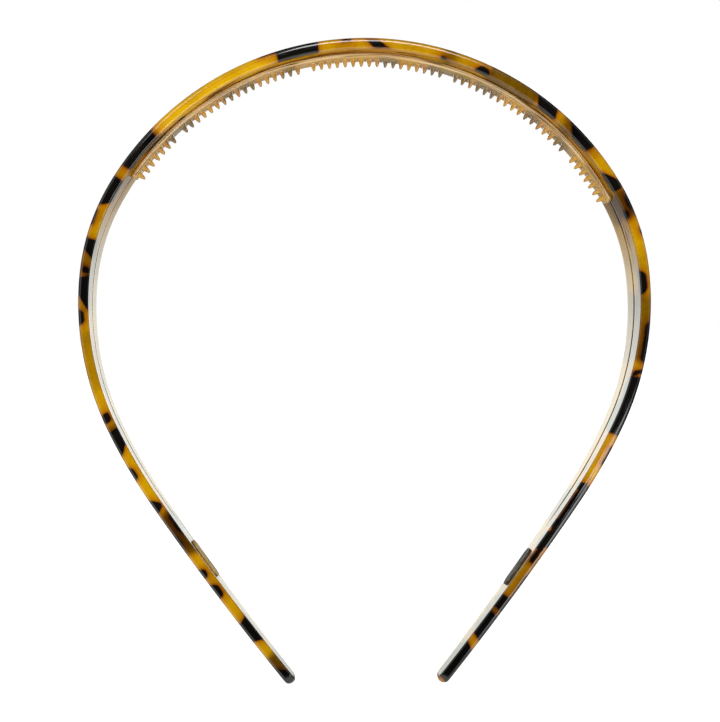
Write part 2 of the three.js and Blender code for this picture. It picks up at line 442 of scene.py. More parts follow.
fade = calc(bend, "DIVIDE", calc(bend, "SUBTRACT", from_end, given["Groove End"]),
            given["Groove Fade"], clamp=True)
lifted = calc(bend, "MULTIPLY", calc(bend, "MULTIPLY", carried(bend, "groove"), fade),
              given["Groove Depth"])
across = calc(bend, "MULTIPLY", carried(bend, "core_x"),
              calc(bend, "SUBTRACT", flat_w, groove_w))
across = calc(bend, "MULTIPLY_ADD", carried(bend, "groove_x"), groove_w, across)
across = calc(bend, "MULTIPLY_ADD", carried(bend, "round_x"), corner, across)
through = calc(bend, "MULTIPLY_ADD", carried(bend, "core_y"), flat_t, lifted)
through = calc(bend, "MULTIPLY_ADD", carried(bend, "round_y"), corner, through)
print("sizes worked out with", len(bend.nodes), "nodes")

# %% [markdown]
# The second part sweeps the section along the line. Curve to Mesh makes the faces, and
# Set Position then takes each point to its true place from the numbers it carries, so
# nothing depends on how Blender would turn the section. The ends close to one point,
# and Merge by Distance joins that point. The flat strip's own coordinates are stored
# as the attribute blank, so that the pattern can bend with the strip.

# %% Sweep and bend the strip
def store(tree, geometry, name, value, kind="FLOAT", domain="POINT"):
    """Stores a value under a name on each point or instance."""
    return put(tree, "GeometryNodeStoreNamedAttribute", {
        "Geometry": geometry, "Name": name, "Value": value,
    }, data_type=kind, domain=domain).outputs[0]


def finished(tree, geometry, material):
    """The end of a tree: real geometry, smooth faces and the piece's material."""
    real = put(tree, "GeometryNodeRealizeInstances", {"Geometry": geometry}).outputs[0]
    smooth = put(tree, "GeometryNodeSetShadeSmooth", {"Geometry": real}).outputs[0]
    return put(tree, "GeometryNodeSetMaterial", {
        "Geometry": smooth, "Material": material}).outputs[0]


MERGE_WITHIN = 0.002 * MM
line_curve = put(bend, "GeometryNodeMeshToCurve", {"Mesh": given["Line"]}).outputs[0]
section = put(bend, "GeometryNodeObjectInfo", {"Object": given["Section"]})
ring = put(bend, "GeometryNodeMeshToCurve", {
    "Mesh": section.outputs["Geometry"]}).outputs[0]
swept = put(bend, "GeometryNodeCurveToMesh", {"Curve": line_curve, "Profile Curve": ring})
blank = put(bend, "ShaderNodeCombineXYZ", {0: along, 1: across, 2: through}).outputs[0]
stored = store(bend, swept.outputs[0], "blank", blank, "FLOAT_VECTOR")
outward = vector_calc(bend, "SCALE", carried(bend, "outward", "FLOAT_VECTOR"), through)
depth = put(bend, "ShaderNodeCombineXYZ", {1: across}).outputs[0]
placed = vector_calc(bend, "ADD", carried(bend, "place", "FLOAT_VECTOR"), outward)
placed = vector_calc(bend, "ADD", placed, depth)
shaped = put(bend, "GeometryNodeSetPosition", {
    "Geometry": stored, "Position": placed}).outputs[0]
closed = put(bend, "GeometryNodeMergeByDistance", {
    "Geometry": shaped, "Distance": MERGE_WITHIN}).outputs[0]
fill(bend, result["Sheet"], finished(bend, closed, given["Material"]))
print("bending tree has", len(bend.nodes), "nodes")

# %% [markdown]
# A modifier's inputs are set by the identifier of each socket, before the object is
# evaluated for the first time. The result is then copied to a plain mesh, so that the
# finished piece carries no modifier. Its faces are turned outward, and its volume is
# printed: a closed shell that points outward has a positive volume.

# %% Turn a tree into a plain mesh
def plain_mesh(name, source, tree, values):
    """Runs a tree on an object and returns a new object with the finished mesh."""
    modifier = source.modifiers.new(tree.name, "NODES")
    modifier.node_group = tree
    for socket in tree.interface.items_tree:
        if socket.in_out == "INPUT" and socket.name in values:
            modifier[socket.identifier] = values[socket.name]
    source.update_tag()
    bpy.context.view_layer.update()
    ready = source.evaluated_get(bpy.context.evaluated_depsgraph_get())
    mesh = bpy.data.meshes.new_from_object(ready)
    source.modifiers.remove(modifier)
    mesh.name = name
    piece = bpy.data.objects.new(name, mesh)
    bpy.context.scene.collection.objects.link(piece)
    shell = bmesh.new()
    shell.from_mesh(mesh)
    bmesh.ops.recalc_face_normals(shell, faces=shell.faces)
    open_edges = sum(1 for edge in shell.edges if not edge.is_manifold)
    volume = shell.calc_volume(signed=True) / MM ** 3
    shell.to_mesh(mesh)
    shell.free()
    print(name, "has", len(mesh.vertices), "points,", open_edges, "open edges,",
          round(volume, 1), "cubic mm")
    return piece


def drop(*helpers):
    """Removes line and section helpers, which are not pieces of the object."""
    for helper in helpers:
        bpy.data.objects.remove(helper)


# %% [markdown]
# Tortoiseshell acetate is a honey-coloured sheet with black-brown blotches pressed into
# it. A blotch has a crisp edge, but the plastic next to it is stained: first a thin red
# brown, then orange, and only some millimetres away clear amber. One colour ramp over
# the distance to the nearest blotch gives exactly that. Softer olive clouds lie between
# the blotches. The group takes the distance and the cloud from the surface and adds
# the fine unevenness itself, so that the band, the comb and the pads can share it.

# %% Build the shared tortoiseshell colour
def ramp(tree, factor, stops):
    """A colour ramp with stops of (position, colour)."""
    node = put(tree, "ShaderNodeValToRGB", {"Fac": factor})
    elements = node.color_ramp.elements
    while len(elements) < len(stops):
        elements.new(0.5)
    for element, (position, colour) in zip(elements, stops):
        element.position = position
        element.color = (*colour, 1)
    return node.outputs["Color"]


def blend_colours(tree, factor, first, second, way="MIX"):
    """Mixes two colours by a factor."""
    node = put(tree, "ShaderNodeMix", data_type="RGBA", blend_type=way)
    fill(tree, node.inputs["Factor"], factor)
    for index, value in ((6, first), (7, second)):
        value = (*value, 1) if isinstance(value, tuple) else value
        fill(tree, node.inputs[index], value)
    return node.outputs[2]


def drawn_out(tree, place, share):
    """A place where only a share of the length counts, so a pattern stretches along."""
    return vector_calc(tree, "MULTIPLY", place, (share, 1.0, 1.0))


def cloudy(tree, place, size, detail=3.0):
    """Smooth noise with lumps of a size in mm."""
    node = put(tree, "ShaderNodeTexNoise", {
        "Vector": place, "Scale": 1 / (size * MM), "Detail": detail, "Roughness": 0.5})
    return node.outputs["Fac"]


shell_tree, shell_in, shell_out = new_tree(
    "Tortoiseshell Sheet", "ShaderNodeTree",
    [("Place", "NodeSocketVector"), ("Blotch Distance", "NodeSocketFloat"),
     ("Cloud", "NodeSocketFloat"), ("Painted Highlight", "NodeSocketFloat")],
    [("Colour", "NodeSocketColor")])
fine = calc(shell_tree, "SUBTRACT", cloudy(shell_tree, shell_in["Place"], 0.9), 0.5)
distance = calc(shell_tree, "MULTIPLY_ADD", fine, 0.35, shell_in["Blotch Distance"])
honey = ramp(shell_tree, run(shell_tree, distance, -0.5, 3.5), [
    (0.062, (0.0060, 0.0048, 0.0036)), (0.125, (0.014, 0.006, 0.003)),
    (0.155, (0.080, 0.017, 0.002)), (0.20, (0.30, 0.095, 0.0012)),
    (0.34, (0.49, 0.192, 0.0006)), (0.72, (0.585, 0.290, 0.0006))])
lumps = cloudy(shell_tree, shell_in["Place"], 9.0, 2.0)
honeyed = ramp(shell_tree, lumps, [
    (0.30, (1.06, 1.10, 1)), (0.5, (1, 1, 1)), (0.70, (0.80, 0.78, 1))])
honey = blend_colours(shell_tree, 1.0, honey, honeyed, "MULTIPLY")
# Painted highlight: along streaks that run with the strip, the clear amber is lightened
# towards pale yellow wherever the band asks for it. The streaks stand in for a broad light
# mirrored in the buffed front edge, and are not a colour of the plastic.
streaks = cloudy(shell_tree, drawn_out(shell_tree, shell_in["Place"], 0.012), 0.55, 2.0)
streaks = run(shell_tree, streaks, 0.35, 0.65, 0.1, 1.5)
clear = run(shell_tree, distance, 0.4, 1.6)
painted_highlight = calc(shell_tree, "MULTIPLY", shell_in["Painted Highlight"],
               calc(shell_tree, "MULTIPLY", clear, streaks))
honey = blend_colours(shell_tree, painted_highlight, honey, (1.22, 1.33, 8.0), "MULTIPLY")
haze = calc(shell_tree, "MULTIPLY_ADD", fine, 0.25, shell_in["Cloud"], clamp=True)
smoky = ramp(shell_tree, haze, [
    (0.0, (1, 1, 1)), (0.25, (0.62, 0.60, 0.8)), (0.50, (0.31, 0.29, 0.6)),
    (0.75, (0.10, 0.09, 0.4)), (1.0, (0.025, 0.022, 0.3))])
honey = blend_colours(shell_tree, 1.0, honey, smoky, "MULTIPLY")
fill(shell_tree, shell_out["Colour"], honey)
print("tortoiseshell colour group has", len(shell_tree.nodes), "nodes")

# %% [markdown]
# Acetate is tumbled and buffed, not moulded to a mirror. Buffing leaves very fine lines
# along the strip, and handling dulls the shine in soft patches. Both are slow along the
# piece and quick across it, so the noise is stretched along the strip. The same group
# gives the roughness and a height for the bump to every piece, with its own values.

# %% Build the shared buffing and wear
buff_tree, buff_in, buff_out = new_tree(
    "Buffing And Wear", "ShaderNodeTree",
    [("Place", "NodeSocketVector"), ("Shine", "NodeSocketFloat"),
     ("Wear", "NodeSocketFloat"), ("Line Size", "NodeSocketFloat")],
    [("Roughness", "NodeSocketFloat"), ("Height", "NodeSocketFloat")])
drawn = drawn_out(buff_tree, buff_in["Place"], 0.006)
lines = put(buff_tree, "ShaderNodeTexNoise", {
    "Vector": drawn, "Scale": buff_in["Line Size"], "Detail": 1.0}).outputs["Fac"]
waves = cloudy(buff_tree, drawn, 1.1, 1.0)
handled = cloudy(buff_tree, buff_in["Place"], 6.0, 4.0)
dull = run(buff_tree, handled, 0.45, 0.75)
rough = calc(buff_tree, "MULTIPLY_ADD", dull, buff_in["Wear"], buff_in["Shine"])
rough = calc(buff_tree, "MULTIPLY_ADD", calc(buff_tree, "SUBTRACT", lines, 0.5),
             calc(buff_tree, "MULTIPLY", buff_in["Wear"], 0.6), rough, clamp=True)
height = calc(buff_tree, "MULTIPLY_ADD", waves, 2.5, lines)
fill(buff_tree, buff_out["Roughness"], rough)
fill(buff_tree, buff_out["Height"], height)
print("buffing group has", len(buff_tree.nodes), "nodes")

# %% [markdown]
# The band's material puts the two groups together. The blotch distance, the cloud and
# the glow are painted on the points of the band further down, because they follow a
# layout along the strip. The surface is smooth plastic.

# %% Mix the band's acetate
def new_material(name):
    """An empty material with a Principled shader, and its node tree."""
    material = bpy.data.materials.new(name)
    material.use_nodes = True
    tree = material.node_tree
    tree.nodes.clear()
    shader = put(tree, "ShaderNodeBsdfPrincipled")
    put(tree, "ShaderNodeOutputMaterial", {"Surface": shader.outputs[0]})
    return material, tree, shader.inputs


def painted_on(tree, name, output="Fac"):
    """What the piece carries on its points under a name."""
    return put(tree, "ShaderNodeAttribute", attribute_name=name).outputs[output]


def place_group(tree, source, inputs):
    """Places a shared node group in a material and fills its inputs."""
    node = put(tree, "ShaderNodeGroup", node_tree=source)
    for key, value in inputs.items():
        fill(tree, node.inputs[key], value)
    return node.outputs


def bump(tree, height, strength, distance):
    """A bump from a height, with a strength and a distance in mm."""
    node = put(tree, "ShaderNodeBump", {
        "Height": height, "Strength": strength, "Distance": distance * MM})
    return node.outputs[0]


tortoiseshell, tree, shader = new_material("tortoiseshell_acetate")
strip_place = painted_on(tree, "blank", "Vector")
# The glow attribute lays the painted highlight streaks into the band's colour.
sheet = place_group(tree, shell_tree, {
    "Place": strip_place, "Blotch Distance": painted_on(tree, "blotch"),
    "Cloud": painted_on(tree, "cloud"), "Painted Highlight": painted_on(tree, "glow")})
buffed = place_group(tree, buff_tree, {
    "Place": strip_place, "Shine": 0.055, "Wear": 0.08, "Line Size": 1500.0})
fill(tree, shader["Base Color"], sheet["Colour"])
fill(tree, shader["Roughness"], buffed["Roughness"])
fill(tree, shader["Normal"], bump(tree, buffed["Height"], 0.35, 0.03))
shader["IOR"].default_value = 1.49
print("made", tortoiseshell.name)

# %% [markdown]
# Now the band itself is swept: a section of about seventy points along nearly seven
# hundred stations. That is finer than the shape needs, because the points also carry
# the pattern, and a blotch edge has to be placed within half a millimetre. The band is
# a few hundredths of a millimetre shorter and thinner than the CAD model, so that no
# point of it stands out of the CAD model's box.

# %% Sweep the band
BAND_HALF = HALF_LENGTH - 0.03
BAND_THICKNESS = THICKNESS - 0.02
EDGE_ROUND = 0.8
INNER_SHARE = 0.5
GROOVE_WIDTH = 1.0
GROOVE_DEPTH = 0.15
GROOVE_END = 40.0
GROOVE_FADE = 15.0
band_line = path_line("band_line", stations(BAND_HALF, 0.6, TIP_WIDTH / 2, 10))
band_section = round_section("band_section", 9, 3, 5, 10)
band = plain_mesh("tortoiseshell_band", band_line, bend, {
    "Section": band_section, "Material": tortoiseshell,
    "Middle Width": CROWN_WIDTH * MM, "Tip Width": TIP_WIDTH * MM,
    "Straight Half": CROWN_HALF * MM, "Half Length": BAND_HALF * MM,
    "Thickness": BAND_THICKNESS * MM, "Edge Round": EDGE_ROUND * MM,
    "Inner Round": INNER_SHARE, "Nose": TIP_WIDTH / 2 * MM,
    "Groove Half Width": GROOVE_WIDTH / 2 * MM, "Groove Depth": GROOVE_DEPTH * MM,
    "Groove End": GROOVE_END * MM, "Groove Fade": GROOVE_FADE * MM})
drop(band_line, band_section)

# %% [markdown]
# Each blotch is a rounded lump in the flat strip, often with slanted ends. Its row gives
# where it starts and ends along the outer face, where it starts and ends along the
# inner face, how far it reaches through the thickness (minus is the inner side, plus
# the outer side, and 3 runs right out of the sheet), how deep it goes behind the front
# edge, and how blurred its edge is. All are millimetres apart from the blur.

# %% Lay out the blotches on the front edge
BLOTCHES = [  # outer start, end, inner start, end, from, to, depth, blur
    (-204.0, -196.2, -204.0, -198.6, -3, 3, 9, 1.4),
    (-187.9, -183.2, -189.3, -182.2, -3, 3, 5, 0.9),
    (-175.4, -171.6, -175.0, -172.2, -0.4, 3, 3, 0.9),
    (-169.6, -167.2, -169.0, -168.4, -0.2, 3, 3, 0.9),
    (-160.6, -157.6, -159.5, -158.2, 0.8, 3, 4, 2.4),
    (-156.6, -153.4, -157.2, -152.8, -3, -0.9, 4, 2.6),
    (-150.8, -147.3, -149.4, -148.8, -0.75, 3, 5, 0.9),
    (-141.4, -138.0, -140.6, -139.6, 0.1, 3, 3, 0.9),
    (-135.2, -129.1, -132.4, -128.7, -3, 3, 6, 0.9),
    (-126.6, -124.5, -126.2, -123.9, -0.65, 0.85, 4, 0.9),
    (-102.9, -99.5, -102.0, -100.2, -0.15, 3, 5, 0.9),
    (-95.4, -92.3, -99.6, -91.6, -3, 3, 5, 0.9),
    (-90.6, -89.3, -91.2, -90.0, -0.9, 0.3, 2, 1.4),
    (-84.9, -83.0, -87.4, -83.2, -3, 3, 7, 0.9),
    (-79.8, -76.2, -79.8, -76.2, 0.8, 3, 3, 0.9),
    (-75.2, -67.7, -73.6, -67.7, -3, 3, 6, 0.9),
    (-64.3, -54.4, -64.3, -54.8, -3, 3, 8, 1.9),
    (-24.1, -10.4, -24.1, -10.4, 0.95, 3, 3, 0.9),
    (-20.2, -10.4, -20.0, -10.3, -3, 3, 5, 0.7),
    (-4.6, -3.0, -4.6, -3.0, 0.65, 0.85, 1, 1.3),
    (0.6, 2.4, 2.6, 6.6, -0.95, 0.45, 3, 0.9),
    (19.1, 19.6, 19.0, 19.7, -3, -1.0, 2, 1.5),
    (28.6, 29.6, 27.2, 30.6, -3, 0.0, 5, 1.2),
    (42.6, 48.3, 44.6, 49.4, -3, 3, 6, 1.0),
    (52.4, 60.1, 55.2, 59.6, -3, 3, 7, 1.4),
    (69.8, 71.2, 66.4, 71.8, -3, 1.0, 5, 0.9),
    (73.5, 77.0, 74.5, 76.0, 0.5, 3, 4, 2.6),
    (77.2, 78.2, 76.8, 78.6, -3, -0.6, 4, 1.7),
    (81.6, 83.4, 81.8, 82.4, 0.9, 3, 2, 0.9),
    (92.8, 95.4, 91.5, 96.8, -3, 0.1, 4, 0.9),
    (103.9, 112.8, 105.0, 112.2, 0.15, 3, 5, 1.5),
    (114.4, 115.0, 115.6, 116.4, -0.9, 1.2, 2, 0.9),
    (116.3, 130.3, 116.5, 130.6, -3, 3, 9, 0.9),
    (133.4, 138.5, 133.4, 138.5, 0.8, 3, 3, 1.0),
    (144.7, 161.2, 143.6, 162.0, -0.7, 3, 7, 0.9),
    (143.4, 146.1, 144.5, 146.1, -3, 0.2, 7, 0.9),
    (154.8, 156.5, 154.8, 156.5, -3, 0.2, 5, 0.9),
    (158.1, 164.0, 158.1, 163.0, -3, 0.1, 6, 0.9),
    (161.0, 166.8, 161.0, 166.4, -0.7, 0.15, 6, 0.9),
    (169.5, 176.3, 169.5, 176.3, 0.85, 3, 3, 1.1),
    (176.3, 179.8, 176.5, 179.8, -3, 3, 8, 1.1),
    (181.7, 188.6, 181.5, 187.2, -3, 3, 9, 1.0),
    (191.7, 200.6, 190.4, 200.6, -3, 3, 9, 0.9),
]
print(len(BLOTCHES), "blotches meet the front edge")

# %% [markdown]
# The clouds are laid out in the same way, with a start, an end and a strength. On one
# stretch of the crown the colour gets a glow: bright streaks, a painted highlight that
# stands in for a broad light mirrored in the buffed front edge.

# %% Lay out the clouds and the stretch of painted highlight
CLOUDS = [  # start, end, strength
    (-199.0, -193.0, 0.6), (-163.0, -151.5, 0.6), (-128.8, -126.3, 0.5),
    (-119.0, -105.0, 0.2), (-99.5, -92.0, 0.25), (-91.5, -85.0, 0.35),
    (-67.7, -64.3, 0.15), (-57.0, -53.5, 0.55), (-92.0, -66.0, 0.12),
    (-13.0, 132.0, 0.09), (19.5, 22.5, 0.35), (30.5, 43.5, 0.5), (51.5, 55.5, 0.4),
    (71.5, 79.0, 0.5), (87.0, 91.0, 0.12), (96.8, 113.0, 0.42), (146.0, 155.0, 0.55),
    (164.5, 176.5, 0.3), (179.6, 181.8, 0.55),
]
# The stretch of the crown where the painted highlight streaks are laid into the colour.
HIGHLIGHT_STRETCH = (-55.0, -23.0)
print(len(CLOUDS), "clouds, and a clear stretch of", HIGHLIGHT_STRETCH[1] - HIGHLIGHT_STRETCH[0], "mm")

# %% [markdown]
# Behind the front edge the layout is free. Seeded random lumps fill the rest of the
# width in the same sizes, so that the outside, the back edge and the inside of the band
# show the same material. Their centres keep clear of the front edge.

# %% Scatter the blotches behind the front edge
def scattered(seed, step):
    """Seeded lumps: centre along, depth behind the front edge, through, and sizes."""
    dice = random.Random(seed)
    lumps, at = [], -HALF_LENGTH
    while at < HALF_LENGTH:
        at += dice.uniform(0.45, 1.35) * step
        room = 2 * half_width(at)
        size = dice.uniform(1.4, 4.2)
        deep = dice.uniform(2.4 + size * 0.6, room + 1.0)
        lumps.append((at, deep, dice.uniform(-1.1, 2.0), size * dice.uniform(0.8, 1.7),
                      size * dice.uniform(0.5, 0.9), dice.uniform(0.8, 2.4)))
    return lumps


LUMPS = scattered(7, 6.0) + scattered(19, 8.5)
print(len(LUMPS), "lumps behind the front edge")

# %% [markdown]
# Every point of a piece now gets its distance to the nearest blotch. The distance to a
# rounded box is simple arithmetic, and the place is first pushed about by smooth noise,
# gently at the front edge and more behind it, so that no blotch has a drawn outline.

# %% Work out the distance to the nearest blotch
def noise_at(places, size, seed):
    """Smooth noise vectors for places in mm, with lumps of a size in mm."""
    shift = Vector((seed * 13.7, seed * 5.1, seed * 9.3))
    return np.array([noise.noise_vector(Vector(p) / size + shift) for p in places])


def box_distance(offsets, halves, radius):
    """Distance to a box with rounded corners, negative inside."""
    gaps = [np.abs(o) - (h - radius) for o, h in zip(offsets, halves)]
    outside = np.sqrt(sum(np.maximum(g, 0) ** 2 for g in gaps))
    return outside + np.minimum(np.maximum.reduce(gaps), 0) - radius


def blotch_distance(along, deep, through):
    """Distance in mm to the nearest blotch or lump, for arrays of points."""
    places = np.stack([along, deep, through * 1.5], 1)
    loose = np.clip(deep / 3.0, 0.25, 1.0)[:, None]
    push = noise_at(places, 5.0, 1) * 1.6 * loose + noise_at(places, 1.7, 2) * 0.7 * loose
    inner_face = np.clip(-1.15 - through, 0, 0.1) / 0.1
    inner_face = inner_face * np.clip((deep - 0.8) / 1.4, 0, 1)
    along, deep = along + push[:, 0], deep + push[:, 1]
    through = through + push[:, 2] * 0.5
    deep = deep + inner_face * 1.5 * deep  # on the inner face blotches end sooner
    nearest = np.full(len(along), 50.0)
    outer = np.clip(through / THICKNESS + 0.5, 0, 1)
    for outer_start, outer_end, inner_start, inner_end, low, high, depth, blur in BLOTCHES:
        start = inner_start + (outer_start - inner_start) * outer
        end = inner_end + (outer_end - inner_end) * outer
        halves = ((end - start) / 2, depth / 2 + 2, (high - low) / 2)
        offsets = (along - (start + end) / 2, deep - depth / 2 + 2,
                   through - (low + high) / 2)
        radius = np.minimum(halves[0], min(halves[1:])) * 0.5
        nearest = np.minimum(nearest, box_distance(offsets, halves, radius) / blur)
    for at, depth, level, long, wide, tall in LUMPS:
        halves = (long, wide, tall)
        offsets = (along - at, deep - depth, through - level)
        nearest = np.minimum(nearest, box_distance(offsets, halves, min(halves) * 0.9))
    return nearest + inner_face


def soft_span(values, start, end, edge):
    """1 inside a span, falling smoothly to 0 over an edge on both sides."""
    inside = np.minimum(values - start, end - values) / edge + 0.5
    inside = np.clip(inside, 0, 1)
    return inside * inside * (3 - 2 * inside)


crown_middle = np.zeros(1)
to_blotch = float(blotch_distance(crown_middle, crown_middle, crown_middle)[0])
print("from the middle of the crown to the nearest blotch:", round(to_blotch, 2), "mm")

# %% [markdown]
# Each point knows its place on the flat strip, so the blotches, the clouds and the
# glow, which is the painted highlight, are worked out there and stored on it. The
# clouds thin out towards the back edge.

# %% Paint the band
def strip_coordinates(mesh):
    """The points' places on the flat strip, in mm: along, across and through."""
    flat = np.zeros(len(mesh.vertices) * 3, np.float32)
    mesh.attributes["blank"].data.foreach_get("vector", flat)
    return (flat.reshape(-1, 3) / MM).T


along_mm, across_mm, through_mm = strip_coordinates(band.data)
deep_mm = across_mm + np.array([half_width(d) for d in along_mm])
blotch_mm = blotch_distance(along_mm, deep_mm, through_mm)
paint(band.data, "blotch", blotch_mm)
haze_push = noise_at(np.stack([along_mm, deep_mm, through_mm], 1), 4.0, 3)[:, 0]
cloud_mm = sum(strength * soft_span(along_mm + 1.5 * haze_push, start, end, 3.0)
               for start, end, strength in CLOUDS)
fading = np.clip(1.4 - deep_mm / 12, 0.4, 1)
paint(band.data, "cloud", cloud_mm * fading)
# The glow attribute carries the painted highlight streaks.
paint(band.data, "glow", soft_span(along_mm, *HIGHLIGHT_STRETCH, 5.0))
print("share of the band that is dark:", round(float((blotch_mm < 0).mean()), 2))

# %% [markdown]
# The comb is one strip of the same kind of acetate, cut with sixty-five teeth. Its back
# is bent like the band, so the same tree makes it, and a second helper leaves out what
# only the band has: the taper and the groove.

# %% Make the comb's back
INNER_RADIUS = 66.5
STRIP_OUTER = 66.48
STRIP_INNER = 65.4
STRIP_DEPTH = 6.0
STRIP_END = 1.7  # beyond the middle of the last tooth
STRIP_NOSE = 1.2
TOOTH_PITCH = 1.92
TOOTH_PLACES = 69
STRIP_HALF = (TOOTH_PLACES - 1) / 2 * TOOTH_PITCH + STRIP_END
COMB_SHIFT = 3.8


def arc_line(name, radius, distances, scale_radius, middle):
    """A line on the crown's circle. Distances are measured at scale_radius."""
    def spot_at(distance):
        angle = (middle + distance) / scale_radius
        out = (math.sin(angle), 0, math.cos(angle))
        return (radius * out[0], 0, radius * out[2] - INNER_RADIUS), out

    return station_line(name, distances, spot_at)


def even_sheet(name, line, section, material, width, half, thickness, edge, nose):
    """A bent sheet of one width all along and without a groove, in mm."""
    return plain_mesh(name, line, bend, {
        "Section": section, "Material": material,
        "Middle Width": width * MM, "Tip Width": width * MM,
        "Straight Half": half * MM, "Half Length": half * MM,
        "Thickness": thickness * MM, "Edge Round": edge * MM, "Inner Round": 1.0,
        "Nose": nose * MM, "Groove Half Width": 0.2 * MM, "Groove Depth": 0.0,
        "Groove End": 0.0, "Groove Fade": 1.0})


comb_acetate, tree, shader = new_material("comb_acetate")
comb_line = arc_line("comb_line", (STRIP_OUTER + STRIP_INNER) / 2,
                     stations(STRIP_HALF, 0.6, STRIP_NOSE, 6), STRIP_INNER, COMB_SHIFT)
comb_section = round_section("comb_section", 4, 2, 4, 2)
comb_back = even_sheet("comb_back", comb_line, comb_section, comb_acetate, STRIP_DEPTH,
                       STRIP_HALF, STRIP_OUTER - STRIP_INNER, 0.45, STRIP_NOSE)
drop(comb_line, comb_section)

# %% [markdown]
# A tooth is modelled once, as rings from its root in the strip to its round tip. It
# flares at the root, where the cutter leaves a round corner, and thins towards the tip
# in both directions. Each point also gets how near the tip it is and how far off the
# tooth's middle, for the colour.

# %% Model one tooth
RINGS = [  # below the strip, half width, half depth
    (-0.35, 0.82, 1.16), (0.0, 0.86, 1.18), (0.10, 0.77, 1.13), (0.26, 0.67, 1.08),
    (0.60, 0.58, 1.02), (1.00, 0.48, 0.94), (1.30, 0.40, 0.86), (1.48, 0.33, 0.76),
    (1.60, 0.24, 0.62), (1.67, 0.14, 0.42),
]
SIDES = 14
ROOT = -RINGS[0][0]
TOOTH_LENGTH = 1.7
SQUARENESS = 3.2  # 2 would give oval rings


def tooth_mesh():
    """A closed tooth at the top of the crown, with its place along it painted on."""
    shell = bmesh.new()
    loops = []
    for drop_mm, wide, deep in RINGS:
        ring = []
        for i in range(SIDES):
            angle = 2 * math.pi * i / SIDES
            x, y = math.cos(angle), math.sin(angle)
            boxy = (abs(x) ** SQUARENESS + abs(y) ** SQUARENESS) ** (-1 / SQUARENESS)
            point = (wide * x * boxy, deep * y * boxy, STRIP_INNER - drop_mm)
            ring.append(shell.verts.new(Vector(point) * MM))
        loops.append(ring)
    for upper, lower in zip(loops, loops[1:]):
        for i in range(SIDES):
            j = (i + 1) % SIDES
            shell.faces.new((upper[i], upper[j], lower[j], lower[i]))
    for ring, height in ((loops[0], ROOT), (loops[-1], -TOOTH_LENGTH)):
        pole = shell.verts.new(Vector((0, 0, STRIP_INNER + height)) * MM)
        for i in range(SIDES):
            shell.faces.new((ring[i], ring[(i + 1) % SIDES], pole))
    bmesh.ops.recalc_face_normals(shell, faces=shell.faces)
    mesh = bpy.data.meshes.new("tooth")
    shell.to_mesh(mesh)
    shell.free()
    points = np.array([v.co for v in mesh.vertices]) / MM
    below = STRIP_INNER - points[:, 2]
    widths = np.interp(below, [r[0] for r in RINGS], [r[1] for r in RINGS])
    paint(mesh, "to_tip", np.clip(below / TOOTH_LENGTH, 0, 1))
    paint(mesh, "off_middle", np.clip(np.abs(points[:, 0]) / widths, 0, 1))
    return mesh


tooth = bpy.data.objects.new("tooth", tooth_mesh())
bpy.context.scene.collection.objects.link(tooth)
print("one tooth has", len(tooth.data.polygons), "faces")

# %% [markdown]
# The teeth stand on sixty-nine even places, and four of these are left empty, which
# parts them into groups of 7, 17, 17, 17 and 7. The tree makes all places, deletes
# every eighteenth from the eighth on, and turns one copy of the tooth to each. Cutting
# and buffing never leave teeth exactly alike, so each is moved by a few hundredths of
# a millimetre, and gets its own shade number. Both come from a fixed seed.

# %% Build the tree that sets the teeth
comb_tree, given, result = new_tree(
    "Comb Teeth", "GeometryNodeTree",
    [("Back", "NodeSocketGeometry"), ("Tooth", "NodeSocketObject"),
     ("Material", "NodeSocketMaterial"), ("Places", "NodeSocketInt"),
     ("Pitch Angle", "NodeSocketFloat"), ("Middle Angle", "NodeSocketFloat"),
     ("First Gap", "NodeSocketInt"), ("Gap Every", "NodeSocketInt"),
     ("Centre Drop", "NodeSocketFloat"), ("Unevenness", "NodeSocketFloat"),
     ("Seed", "NodeSocketInt")],
    [("Comb", "NodeSocketGeometry")])
spot = put(comb_tree, "ShaderNodeCombineXYZ", {2: calc(
    comb_tree, "MULTIPLY", given["Centre Drop"], -1.0)}).outputs[0]
row = put(comb_tree, "GeometryNodeMeshLine", {
    "Count": given["Places"], "Start Location": spot, "Offset": (0, 0, 0)}).outputs[0]
index = put(comb_tree, "GeometryNodeInputIndex").outputs[0]
middle = calc(comb_tree, "MULTIPLY", calc(comb_tree, "SUBTRACT", given["Places"], 1.0), 0.5)
turn = calc(comb_tree, "MULTIPLY_ADD", calc(comb_tree, "SUBTRACT", index, middle),
            given["Pitch Angle"], given["Middle Angle"])
row = store(comb_tree, row, "turn", turn)
since = calc(comb_tree, "SUBTRACT", index, given["First Gap"])
left_over = calc(comb_tree, "FLOORED_MODULO", since, given["Gap Every"])
empty = calc(comb_tree, "LESS_THAN", left_over, 0.5)
row = put(comb_tree, "GeometryNodeDeleteGeometry", {
    "Geometry": row, "Selection": empty}, domain="POINT").outputs[0]
one = put(comb_tree, "GeometryNodeObjectInfo", {
    "Object": given["Tooth"]}).outputs["Geometry"]
facing = put(comb_tree, "ShaderNodeCombineXYZ", {1: carried(comb_tree, "turn")}).outputs[0]
teeth = put(comb_tree, "GeometryNodeInstanceOnPoints", {
    "Points": row, "Instance": one, "Rotation": facing}).outputs[0]
stray = put(comb_tree, "FunctionNodeRandomValue", {
    "Min": (-1, -1, -1), "Max": (1, 1, 1), "Seed": given["Seed"]}, data_type="FLOAT_VECTOR")
stray = vector_calc(comb_tree, "SCALE", stray.outputs[0], given["Unevenness"])
teeth = put(comb_tree, "GeometryNodeTranslateInstances", {
    "Instances": teeth, "Translation": stray, "Local Space": True}).outputs[0]
shade = put(comb_tree, "FunctionNodeRandomValue", {
    "Seed": given["Seed"]}, data_type="FLOAT")
teeth = store(comb_tree, teeth, "shade", shade.outputs[1], domain="INSTANCE")
whole = put(comb_tree, "GeometryNodeJoinGeometry")
